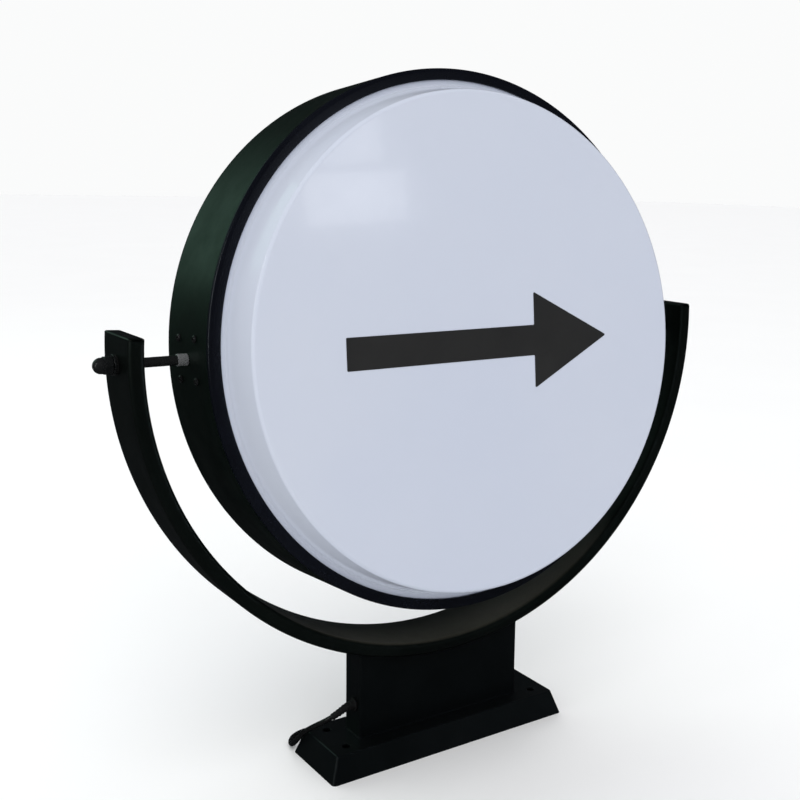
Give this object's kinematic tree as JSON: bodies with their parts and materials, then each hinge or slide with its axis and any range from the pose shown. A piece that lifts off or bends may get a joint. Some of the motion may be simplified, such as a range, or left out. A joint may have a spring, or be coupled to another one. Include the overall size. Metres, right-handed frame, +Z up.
{
  "type": "lighted advertising sign",
  "caption": "Double-sided round light box that tilts between the arms of a U-shaped yoke on a post and a bolt-down base, with a mains lead.",
  "frame": {"origin": "middle of the base's underside, on the surface it stands on", "axes": "+Z up; -Y is the front, the side the rest pose shows; +X is to the right of someone who faces the front, along the tilt axle"},
  "size_m": [0.7868, 0.2614, 0.7843],
  "materials": {
    "satin_black_paint": "satin black powder coat with a faint green cast",
    "gloss_black_paint": "gloss black paint",
    "opal_acrylic": "polished opal acrylic, vacuum formed",
    "charcoal_film": "cut vinyl film, satin",
    "black_nylon": "moulded black nylon",
    "bright_zinc": "bright zinc plate",
    "black_steel": "black zinc plate, semi-gloss",
    "tray_aluminium": "mill finish sheet",
    "white_circuit_board": "white solder mask with clear lenses",
    "driver_case": "satin anodised case",
    "black_cable": "black PVC sheath, slight sheen",
    "black_rubber": "moulded black PVC",
    "plated_pins": "nickel-plated"
  },
  "bodies": {
    "stand": {"base_cover": "satin_black_paint", "base_plate": "satin_black_paint", "post": "satin_black_paint", "yoke": "satin_black_paint", "yoke_end_cap_left": "satin_black_paint", "yoke_end_cap_right": "satin_black_paint", "bush_left_outer": "black_nylon", "bush_left_inner": "black_nylon", "bush_right_outer": "black_nylon", "bush_right_inner": "black_nylon", "strain_relief": "black_rubber", "power_cord": "black_cable", "power_cord_coil": "black_cable", "plug_body": "black_rubber", "plug_pin_a": "plated_pins", "plug_pin_b": "plated_pins", "stand_lead": "black_cable"},
    "drum": {"rim_band": "satin_black_paint", "front_bezel": "gloss_black_paint", "rear_bezel": "gloss_black_paint", "front_face": "opal_acrylic", "rear_face": "opal_acrylic", "front_graphic": "charcoal_film", "rear_graphic": "charcoal_film", "pivot_plate_left": "bright_zinc", "pivot_rod_left": "black_steel", "pivot_collar_left": "bright_zinc", "inner_nut_left": "bright_zinc", "arm_washer_left": "black_steel", "cap_nut_left": "black_steel", "pivot_plate_right": "bright_zinc", "pivot_rod_right": "black_steel", "pivot_collar_right": "bright_zinc", "inner_nut_right": "bright_zinc", "arm_washer_right": "black_steel", "cap_nut_right": "black_steel", "pivot_screw_1_left": "black_steel", "pivot_screw_2_left": "black_steel", "pivot_screw_3_left": "black_steel", "pivot_screw_4_left": "black_steel", "pivot_screw_1_right": "black_steel", "pivot_screw_2_right": "black_steel", "pivot_screw_3_right": "black_steel", "pivot_screw_4_right": "black_steel", "tray_bracket_1": "bright_zinc", "tray_bracket_2": "bright_zinc", "tray_bracket_3": "bright_zinc", "tray_bracket_4": "bright_zinc", "front_led_tray": "tray_aluminium", "rear_led_tray": "tray_aluminium", "front_led_strip_1": "white_circuit_board", "front_led_strip_2": "white_circuit_board", "front_led_strip_3": "white_circuit_board", "rear_led_strip_1": "white_circuit_board", "rear_led_strip_2": "white_circuit_board", "rear_led_strip_3": "white_circuit_board", "led_driver": "driver_case", "drum_lead": "black_cable"}
  },
  "joints": [
    {"name": "drum_tilt", "type": "hinge", "parent": "stand", "child": "drum", "pos_m": [0, 0, 0.481], "axis": [1, 0, 0], "range_deg": [-85, 95]}
  ]
}
